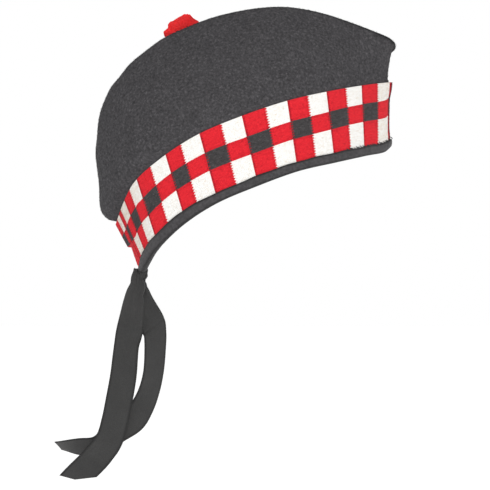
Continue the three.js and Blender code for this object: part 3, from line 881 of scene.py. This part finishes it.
# Low puckers across the tape's outside, and the waves of its upper edge
PUCKER_PITCH = 5.2
PUCKER_DEPTH = 0.10
PUCKER_LEVELS = (0.5, 5.0)
TAPE_WAVE = 0.20
TAPE_WAVES = (4.1, 9.7)
# How far across the tape its lower edge counts, so that the darkening of its woven edges reaches further in
# from below: painted shade where the tape turns under the rim
TAPE_ACROSS = (-1.2, 1.0)


def binding_section():
    """The folded tape's outline as (out, up), outside then inside, a little full and with soft edges."""
    within = -(FELT_WALL + GAP)
    without = GAP + BAND_WALL + GAP
    inner, outer, low = within - TAPE_WALL, without + TAPE_WALL, -(GAP + TAPE_WALL)
    turn = np.linspace(0, math.pi / 2, 5)
    corner = BINDING_CORNER * np.stack([1 - np.cos(turn), 1 - np.sin(turn)], axis=1)
    top, bevel = BINDING_HEIGHT, 0.5
    left = [(inner, top - 0.35), (inner + 0.05, 4.2)] + [(inner + x, low + y) for x, y in corner]
    right = [(outer - x, low + y) for x, y in corner[::-1]]
    right += [(outer + 0.12, 2.4), (outer + 0.08, 4.6), (outer - 0.15, top - 0.2), (outer - bevel, top)]
    channel = [
        (without, top - 0.3), (without, bevel - GAP), (without - bevel, -GAP),
        (within + bevel, -GAP), (within, bevel - GAP), (within, top - 0.3), (within - bevel, top),
    ]
    return np.array(left + right + channel)


def rim_places(step):
    """Places round the rim about step apart, their distance along it, and its length."""
    fine = np.linspace(0, 2 * BACK, RIM_SAMPLES)
    run = run_along(ring_at("rim", fine))
    count = 2 * round(run[-1] / step / 2)
    distance = np.arange(count) * run[-1] / count
    return np.interp(distance, run, fine), distance, run[-1]


def binding_edges(places, distance):
    """How much higher the tape's upper edge lies, and how much lower its lower edge."""
    folded = from_front(places)
    higher, lower = (np.interp(folded, *np.transpose(edge)) for edge in (BINDING_RISE, BINDING_DROP))
    short, long = TAPE_WAVES
    return higher + TAPE_WAVE * (np.sin(distance / short) + np.sin(distance / long + 1.0)), lower


def binding_loops():
    """The tape's outline at steps round the rim, its map of the cloth, and the rim's length."""
    places, distance, length = rim_places(BINDING_STEP)
    point, out, upward = wall_at(places, 0.0)
    higher, lower = binding_edges(places, distance)
    aside, level = binding_section().T
    # Painted shade: the tape darkens sooner towards its lower edge, where it turns under the rim
    across = np.interp(level, [level.min(), BINDING_HEIGHT], TAPE_ACROSS)
    pucker = PUCKER_DEPTH * np.cos(2 * math.pi * distance / PUCKER_PITCH)[:, None]
    outside = aside > BAND_WALL + 3 * GAP
    aside = aside + pucker * outside * smoothstep(level, *PUCKER_LEVELS)
    raised = higher[:, None] * np.maximum(level, 0.0) / BINDING_HEIGHT
    level = level + raised - lower[:, None] * smoothstep(level, *DROP_LEVELS)
    loops = moved(point[:, None], (out[:, None], aside), (upward[:, None], level))
    return loops, stacked(distance[:, None], across), length


loops, flat_map, binding_length = binding_loops()
points, faces = sweep(loops, ring=True)
binding = add_piece("rim_tape", points, outward(points, faces), [TAPE], flat_map=flat_map)
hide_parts("rim_binding")

# Hem stitches that hold the binding's upper edge to the band, between two places near the front
HEM_PLACES = (0.3, 2.7)
HEM_PITCH = 2.3
HEM_THREAD = 0.36
HEM_SIDES = 5
# How far up a stitch reaches and how it slants and shifts, with the spread of each
HEM_REACH = (BINDING_HEIGHT - 1.0, BINDING_HEIGHT + 1.5)
HEM_REACHES = (0.6, 1.15)
HEM_SLANT = 1.7
HEM_SLANTS = (0.5, 1.3)
HEM_SHIFT = 0.5
HEM_SHADES = (0.2, 0.6)
# Along one stitch: distance out from the wall, and share of the thread's thickness
HEM_PATH = np.array([(3.10, 0.6), (3.30, 1.0), (3.20, 1.0), (2.6, 0.9), (2.1, 0.5)])
# A strand that rises more steeply than this is turned by the X axis instead of the Z axis
STEEP = 0.9


def round_strands(paths, radii, sides):
    """Closed strands of triangles along paths (n, k, 3) with radii (n, k)."""
    amount, steps = paths.shape[:2]
    along = unit(np.gradient(paths, axis=1))
    helper = np.where(np.abs(along[..., 2:]) < STEEP, [0.0, 0.0, 1.0], [1.0, 0.0, 0.0])
    side = unit(np.cross(along, helper))
    other = np.cross(along, side)
    angle = 2 * math.pi * np.arange(sides) / sides
    around = side[:, :, None] * np.cos(angle)[:, None] + other[:, :, None] * np.sin(angle)[:, None]
    tube = paths[:, :, None] + around * radii[..., None, None]
    points = np.concatenate([tube.reshape(amount, -1, 3), paths[:, [0, -1]]], axis=1)
    index = np.arange(steps * sides).reshape(steps, sides)
    index = np.concatenate([index, index[:, :1]], axis=1)
    tip = np.full(sides, steps * sides)
    start = np.stack([index[0, :-1], index[0, 1:], tip], axis=1)
    end = np.stack([index[-1, 1:], index[-1, :-1], tip + 1], axis=1)
    one = np.concatenate([triangles(grid_faces(index))[:, ::-1], start, end])
    faces = one + points.shape[1] * np.arange(amount)[:, None, None]
    return points, faces.reshape(-1, 3)


def hem_stitches():
    """The points and faces of one short thread after another along the tape's upper edge."""
    places, distance, _ = rim_places(HEM_PITCH)
    point, out, upward = wall_at(places, 0.0)
    higher, _ = binding_edges(places, distance)
    ahead = unit(np.roll(point, -1, axis=0) - point)
    first, last = HEM_PLACES
    kept = (from_front(places) > first) & (from_front(places) < last)
    tables = (point, out, upward, higher, ahead)
    point, out, upward, higher, ahead = (table[kept][:, None] for table in tables)
    each = (len(point), 1)
    face, thickness = HEM_PATH.T
    share = np.linspace(0, 1, len(HEM_PATH))
    lean = HEM_SLANT * (share - 0.5) * random.uniform(*HEM_SLANTS, each)
    lean = lean + random.normal(scale=HEM_SHIFT, size=each)
    low, high = HEM_REACH
    reach = low + (high - low) * share * random.uniform(*HEM_REACHES, each) + higher
    paths = moved(point, (out, face), (upward, reach), (ahead, lean))
    return round_strands(paths, np.tile(HEM_THREAD * thickness, each), HEM_SIDES)


points, faces = hem_stitches()
shade = random.uniform(*HEM_SHADES, len(points))
hem = add_piece("hem_stitches", points, faces, [DARK_YARN], shade=shade)

# Ribbon tails: rows of x, y, z, share of the width and turn, from the knot down
RIBBON_WIDTH = 21.0
RIBBON_WALL = 0.7
RIGHT_TAIL = np.array([
    (-99.0, -3.9, -50.0, 0.36, 0), (-99.6, -3.9, -54.5, 0.53, 0), (-100.2, -3.6, -59.6, 0.56, 0),
    (-102.1, -3.3, -65.0, 0.63, 6), (-103.3, -3.4, -72.9, 0.78, 12), (-105.0, -4.4, -85.4, 0.94, 14),
    (-106.5, -5.0, -95.0, 1.0, 4), (-108.7, -5.0, -105.6, 1.0, 26), (-111.3, -4.8, -129.9, 1.0, 10),
    (-114.6, -4.2, -148.6, 1.0, 0), (-117.8, -4.2, -164.2, 1.0, -8), (-122.2, -4.8, -178.8, 1.02, -8),
    (-132.0, -5.8, -192.1, 1.05, -4), (-146.6, -7.4, -207.5, 1.05, -4),
])
LEFT_TAIL = np.array([
    (-98.8, 3.9, -50.0, 0.40, 0), (-98.8, 3.9, -54.5, 0.53, 0), (-98.4, 3.6, -59.6, 0.56, -4),
    (-96.8, 3.4, -65.0, 0.63, -14), (-94.2, 4.4, -72.9, 0.78, -24), (-88.8, 6.4, -87.2, 1.0, -14),
    (-86.6, 7.6, -96.0, 1.0, -34), (-86.4, 8.2, -106.0, 1.0, -38), (-87.9, 8.2, -127.0, 1.0, -43),
    (-91.6, 7.0, -142.3, 1.0, -40), (-96.4, 5.4, -153.4, 1.0, -32), (-103.6, 3.4, -163.8, 1.0, -18),
    (-115.6, 2.6, -171.7, 1.0, -16), (-130.3, 5.4, -183.6, 1.0, -44), (-145.9, 6.6, -184.9, 1.0, -50),
    (-162.2, 7.4, -184.0, 1.0, -76),
])
# How far an end is cut on the slant, how far its middle stands out as a blunt point, and from what share on
RIGHT_END = (9.5, 3.6)
LEFT_END = (2.3, 0.0)
SLANT_FROM = 0.78
# Steps from one row to the next, points across, and steps over which width and turn are evened out
TAIL_STEPS = 12
TAIL_ACROSS = 17
TAIL_SMOOTHING = 9
# Gathers below the knot, with the share, waves and phases of broad and fine ones, and the low bow below them
GATHER_DEPTH = 0.5
GATHER_FADE = 38.0
GATHERS = [(1.0, 2.5 * math.pi, 1), (0.5, 4.5 * math.pi, 2)]
GATHERED_EDGE = 0.25
BOW_DEPTH = 0.35
BOW_RUN = 19.0
# How much lower a tail starts at its front edge than at its back edge
START_SLANT = 4.5
START_FADE = 14.0
# Where a slanting crease crosses a tail's middle, how it leans, and its depth at the back and front edges
RIGHT_CREASE = (44.6, 4.6, 0.0, 0.7)
LEFT_CREASE = (43.0, 4.0, 0.9, 0.3)
CREASE_WIDTH = 1.3


def smoothed(values):
    """Each value's mean with its neighbours."""
    longer = np.pad(values, TAIL_SMOOTHING // 2, "edge")
    return np.convolve(longer, np.full(TAIL_SMOOTHING, 1 / TAIL_SMOOTHING), "valid")


def tail_piece(name, path, end, crease, phase):
    """One hanging ribbon end and the length of its middle line."""
    last = len(path) - 1
    at = np.linspace(0, 1, last * TAIL_STEPS + 1)
    line = path[:, :3]
    middle = curve(line, at)
    shares = (np.interp(at * last, np.arange(last + 1), values) for values in path.T[3:])
    width, turn = (smoothed(values)[:, None] for values in shares)
    step = 1e-4
    along = unit(curve(line, np.clip(at + step, 0, 1)) - curve(line, np.clip(at - step, 0, 1)))
    across = unit(np.cross(along, [0.0, 1.0, 0.0]))
    turn = np.radians(turn)
    across = across * np.cos(turn) + np.cross(along, across) * np.sin(turn)
    face = np.cross(along, across)
    run = run_along(middle)[:, None]
    w = np.linspace(-1, 1, TAIL_ACROSS)
    gathers = sum(share * np.cos(waves * w + times * phase) for share, waves, times in GATHERS)
    bow = GATHER_DEPTH * bell(run, GATHER_FADE) * gathers
    bow = bow + BOW_DEPTH * np.sin(run / BOW_RUN + phase) * (1 - w**2)
    centre, lean, *depths = crease
    bow = bow - np.interp(w, [-1, 1], depths) * bell(run - centre + lean * w, CREASE_WIDTH)
    reach = w * width * RIBBON_WIDTH / 2
    slant, point = (size * smoothstep(at, SLANT_FROM, 1.0)[:, None] for size in end)
    further = point * (1 - np.abs(w)) - slant * w + START_SLANT * np.exp(-run / START_FADE) * w
    sheet = moved(middle[:, None], (across[:, None], reach), (face[:, None], bow), (along[:, None], further))
    out = unit(np.cross(np.gradient(sheet, axis=0), np.gradient(sheet, axis=1))) * RIBBON_WALL / 2
    points, faces = sweep(np.concatenate([sheet - out, (sheet + out)[:, ::-1]], axis=1))
    across_map = np.concatenate([w, w[::-1]]) * (1 - GATHERED_EDGE * bell(run, GATHER_FADE, 4))
    obj = add_piece(name, points, outward(points, faces), [RIBBON], flat_map=stacked(run, across_map))
    return obj, run[-1, 0]


right_tail, right_length = tail_piece("ribbon_right", RIGHT_TAIL, RIGHT_END, RIGHT_CREASE, phase=0.4)
left_tail, left_length = tail_piece("ribbon_left", LEFT_TAIL, LEFT_END, LEFT_CREASE, phase=1.9)
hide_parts("ribbon_tail_right")
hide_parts("ribbon_tail_left")

# Ribbon knot: a gathered core, one slanting turn round it and the tucked end at its front side
KNOT_CENTRE = np.array([-98.7, 0.0, -53.0])
KNOT_FLAT = 0.72
KNOT_SIDES = 72
KNOT_AROUND = 2 * math.pi * np.arange(KNOT_SIDES) / KNOT_SIDES
# Height from the centre, radius, how far it leans to the front
CORE = np.array([
    (7.4, 3.9, 0.4), (6.0, 4.3, 0.1), (3.0, 4.7, -0.4), (0.0, 4.9, -0.7), (-3.0, 5.0, -0.9),
    (-6.0, 4.7, -0.9), (-8.0, 3.9, -0.8), (-9.2, 2.4, -0.8), (-9.6, 0.6, -0.8),
])
CORE_ROWS = 25
# The core's folds: depth, how many there are round it, phase
CORE_FOLDS = [(0.07, 9, 0.5), (0.05, 14, 2.0)]
# The turn's middle line, how much wider it is across, half its width and thickness, depth and number of its
# creases and pinches, and how square its section is
WRAP_CENTRE = np.array([1.7, 0.0, 3.2])
WRAP_TILT = math.radians(40)
WRAP_RADIUS = 3.3
WRAP_WIDER = 1.175
WRAP_HALF = 3.2
WRAP_THICK = 0.9
WRAP_CREASE = 0.30
WRAP_CREASES = 2.6
WRAP_PINCH = 0.12
WRAP_PINCHES = 3
WRAP_SQUARE = 0.7
WRAP_STEPS = 28
# The tucked end's path, its folds, and the part of a half wave by which it narrows
TUCK_PATH = np.array([
    (4.9, -1.6, 9.4), (5.6, -2.2, 7.6), (5.6, -2.4, 5.0),
    (5.5, -2.4, 2.4), (5.0, -2.2, 0.0), (4.0, -2.0, -2.2),
])
TUCK_STEPS = 21
TUCK_SIDES = 16
TUCK_FOLD = 0.22
TUCK_FOLDS = 3
TUCK_ENDS = (0.05, 0.95)


def knot_core():
    """A gathered upright bundle."""
    height, radius, lean = curve(CORE, np.linspace(0, 1, CORE_ROWS)).T[..., None]
    folds = sum(depth * np.cos(count * KNOT_AROUND + phase) for depth, count, phase in CORE_FOLDS)
    radius = radius * (1 + folds)
    x, y = lean + radius * np.cos(KNOT_AROUND), radius * np.sin(KNOT_AROUND) * KNOT_FLAT
    return sweep(stacked(x, y, height))


def knot_wrap():
    """A flat, creased ring of ribbon round the core."""
    angle = KNOT_AROUND[:, None]
    turn = np.linspace(0, 2 * math.pi, WRAP_STEPS, endpoint=False)
    height = WRAP_HALF * np.sign(np.cos(turn)) * np.abs(np.cos(turn)) ** WRAP_SQUARE
    depth = WRAP_THICK * np.sin(turn)
    crease = WRAP_CREASE * np.cos(WRAP_CREASES * height + 0.5 * np.sin(2 * angle)) * (depth > 0)
    radius = WRAP_RADIUS + depth + crease
    x, y = radius * np.cos(angle), radius * np.sin(angle) * WRAP_WIDER
    z = height * (1 - WRAP_PINCH * np.cos(WRAP_PINCHES * angle + 0.8))
    sine, cosine = math.sin(WRAP_TILT), math.cos(WRAP_TILT)
    return sweep(stacked(cosine * x + sine * z, y, cosine * z - sine * x) + WRAP_CENTRE, ring=True)


def knot_tuck():
    """A folded end, narrowing to both sides."""
    share = np.linspace(0, 1, TUCK_STEPS)
    folds = 1 + TUCK_FOLD * np.cos(2 * math.pi * TUCK_FOLDS * share)
    narrowing = np.sqrt(np.sin(math.pi * np.linspace(*TUCK_ENDS, TUCK_STEPS)))
    points, faces = round_strands(curve(TUCK_PATH, share)[None], (folds * narrowing)[None], TUCK_SIDES)
    return points[0], faces


knot_points, knot_faces, offset = [], [], 0
for points, faces in (knot_core(), knot_wrap(), knot_tuck()):
    faces = triangles(faces) if faces.shape[1] == 4 else faces
    knot_points.append(points + KNOT_CENTRE)
    knot_faces.append(outward(points, faces) + offset)
    offset += len(points)
knot_points = np.concatenate(knot_points)
knot_map = stacked(knot_points[:, 2], 0.0)
knot = add_piece("ribbon_knot_folds", knot_points, np.concatenate(knot_faces), [RIBBON], flat_map=knot_map)
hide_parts("ribbon_knot")

# Toorie: strands of wool yarn standing out from the middle, pressed into the pleat
TOORIE_CENTRE = np.array([-63.6, 0.0, 137.8])
# Its outline in the side view: degrees round from the front by the top, and radius
TOORIE_OUTLINE = np.array([
    (-90, 12.0), (0, 13.0), (30, 13.6), (40, 14.1), (59, 13.4), (69, 14.4), (77, 15.0),
    (90, 14.5), (101, 13.5), (112, 12.9), (122, 12.7), (133, 12.9), (143, 14.0), (150, 14.4),
    (157, 13.7), (164, 13.3), (170, 14.5), (176, 16.1), (188, 15.6), (205, 13.5), (270, 12.0),
])
TOORIE_HALF_WIDTH = 14.6
TOORIE_FULLNESS = 2.5
STRAND_COUNT = 11000
STRAND_SIDES = 3
STRAND_RADIUS = 0.66
STRAND_RADII = (0.85, 1.15)
# Along one strand: share of its length, and of its thickness
STRAND_PATH = np.array([(0.55, 0.9), (0.96, 1.0), (1.0, 0.50)])
# The strands of each end of yarn lean together into a tuft
TUFT_COUNT = 1400
TUFT_LEAN = (0.22, 0.5, 1.0)
TUFT_ROUND = 0.008
# Spread of the lengths and shades of strands and tufts
STRAND_UNEVEN = 0.010
TUFT_UNEVEN = 0.012
UNEVEN_LIMITS = (0.97, 1.02)
TUFT_SHADE = (0.54, 0.07)
STRAND_SHADE = (0.0, 0.08)
UNSETTLED = 0.03


def evenly_spread(count):
    """Ways out from one point, evenly spread and a little unsettled."""
    index = np.arange(count) + 0.5
    height = 1 - 2 * index / count
    angle = index * math.pi * (3 - math.sqrt(5))
    reach = np.sqrt(1 - height**2)
    way = stacked(reach * np.cos(angle), reach * np.sin(angle), height)
    return unit(way + random.normal(scale=UNSETTLED, size=way.shape))


def toorie_strands():
    """The strands' points and faces, and the tuft that each strand is part of."""
    way, tufts = evenly_spread(STRAND_COUNT), evenly_spread(TUFT_COUNT)
    tuft = np.argmax(way @ tufts.T, axis=1)
    from_middle = tufts[tuft] - way
    turn = np.mod(np.degrees(np.arctan2(way[:, 2], way[:, 0])) + 90, 360) - 90
    outline = np.interp(turn, *TOORIE_OUTLINE.T)
    upright = (np.hypot(way[:, 0], way[:, 2]) / outline) ** TOORIE_FULLNESS
    aside = (np.abs(way[:, 1]) / TOORIE_HALF_WIDTH) ** TOORIE_FULLNESS
    length = (upright + aside) ** (-1 / TOORIE_FULLNESS)
    tuft_half_width = 2 / math.sqrt(TUFT_COUNT)
    from_middle_share = np.sum(from_middle**2, axis=1) / tuft_half_width**2
    length = length * (1 - TUFT_ROUND * from_middle_share)
    length = length * random.normal(1.0, STRAND_UNEVEN, STRAND_COUNT).clip(*UNEVEN_LIMITS)
    length = length * random.normal(1.0, TUFT_UNEVEN, TUFT_COUNT).clip(*UNEVEN_LIMITS)[tuft]
    share, thickness = STRAND_PATH.T
    paths = way[:, None] + from_middle[:, None] * setting_in(share, *TUFT_LEAN)[:, None]
    paths = paths * (share * length[:, None])[..., None] + TOORIE_CENTRE
    radii = STRAND_RADIUS * thickness * random.uniform(*STRAND_RADII, (STRAND_COUNT, 1))
    points, faces = round_strands(paths, radii, STRAND_SIDES)
    return points, faces, tuft


def above_pleat(points):
    """Points lifted clear of the pleat's two faces."""
    place = np.interp(points[..., 0], RIBS[::-1, PLEAT_X], np.arange(BACK, -1, -1.0))
    floor = rib_value(PLEAT_Z, place)
    ridge_y, ridge_z = (rib_value(column, place) for column in RIDGE[1:])
    slope = floor + (ridge_z - floor) * np.clip(np.abs(points[..., 1]) / ridge_y, 0, 1)
    lifted = points.copy()
    lifted[..., 2] = np.maximum(points[..., 2], slope + GAP)
    return lifted


points, faces, tuft = toorie_strands()
points = above_pleat(points)
shade = random.normal(*TUFT_SHADE, TUFT_COUNT)[tuft] + random.normal(*STRAND_SHADE, STRAND_COUNT)
toorie = add_piece("toorie_wool", points, faces, [TOORIE_YARN], shade=shade)
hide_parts("toorie")

# Every piece rides on the one body
for piece in (crown, fibres, band, stitches, binding, hem, right_tail, left_tail, knot, toorie):
    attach(piece, BODY)

# Stage: a plain pale floor, soft studio light and the photograph's side view
FLOOR_HEIGHT = -0.262
FLOOR_SIZE = 30.0
VIEW_CENTRE = (-0.0164, 0.0, -0.0273)
VIEW_FIELD = 0.382
VIEW_DISTANCE = 12.0
VIEW_ELEVATION = math.radians(0.35)
SENSOR_WIDTH = 36.0
VIEW_END = 100.0


def add_floor():
    """A large pale plane below the ribbon ends."""
    material, nodes = new_material("studio_floor", roughness=0.9, specular=0.1)
    nodes.set("Base Color", (*grey(0.9), 1.0))
    nodes.set("Emission Color", (*grey(1.0), 1.0))
    nodes.set("Emission Strength", 0.4)
    corners = np.array([(-1, -1, 0), (1, -1, 0), (1, 1, 0), (-1, 1, 0)]) * FLOOR_SIZE / 2
    corners = (corners + [0, 0, FLOOR_HEIGHT]) / MM
    floor = add_piece("studio_floor", corners, np.array([[0, 1, 2, 3]]), [material], smooth=False)


def add_world():
    """Light from all around, whitest at the sides."""
    world = bpy.data.worlds.new("studio")
    bpy.context.scene.world = world
    nodes = Nodes(world, "Background")
    place = nodes.add("ShaderNodeTexCoord").outputs["Generated"]
    height = nodes.add("ShaderNodeSeparateXYZ", vector=place).outputs["Z"]
    nodes.set("Color", nodes.ramp(height, [(0.35, grey(1.0)), (0.95, grey(0.5))]))
    nodes.set("Strength", 1.0)


def point_at(obj, place, aim):
    """Stand an object at a place and turn it to face another."""
    ahead = unit(np.array(aim, float) - np.array(place, float))
    side = unit(np.cross(ahead, [0.0, 0.0, 1.0]))
    matrix = np.eye(4)
    matrix[:3, :3] = np.stack([side, np.cross(side, ahead), -ahead], axis=1)
    matrix[:3, 3] = place
    obj.matrix_world = Matrix(matrix.tolist())


def add_light(name, place, aim, size, power):
    """A round soft light."""
    light = bpy.data.lights.new(name, "AREA")
    light.shape = "DISK"
    light.size = size
    light.energy = power
    point_at(add_object(name, light), place, aim)


def add_camera():
    """A distant camera on the wearer's right, as in the photograph."""
    camera = bpy.data.cameras.new("photo_view")
    camera.sensor_width = SENSOR_WIDTH
    camera.lens = SENSOR_WIDTH * VIEW_DISTANCE / VIEW_FIELD
    camera.clip_end = VIEW_END
    obj = add_object("photo_view", camera)
    away = np.array([0.0, -math.cos(VIEW_ELEVATION), math.sin(VIEW_ELEVATION)])
    point_at(obj, VIEW_CENTRE + VIEW_DISTANCE * away, VIEW_CENTRE)
    bpy.context.scene.camera = obj


add_floor()
add_world()
add_light("key", place=(0.3, -2.4, 0.7), aim=(0.0, 0.0, 0.03), size=1.6, power=28.0)
add_camera()
bpy.context.scene.view_settings.view_transform = "Standard"
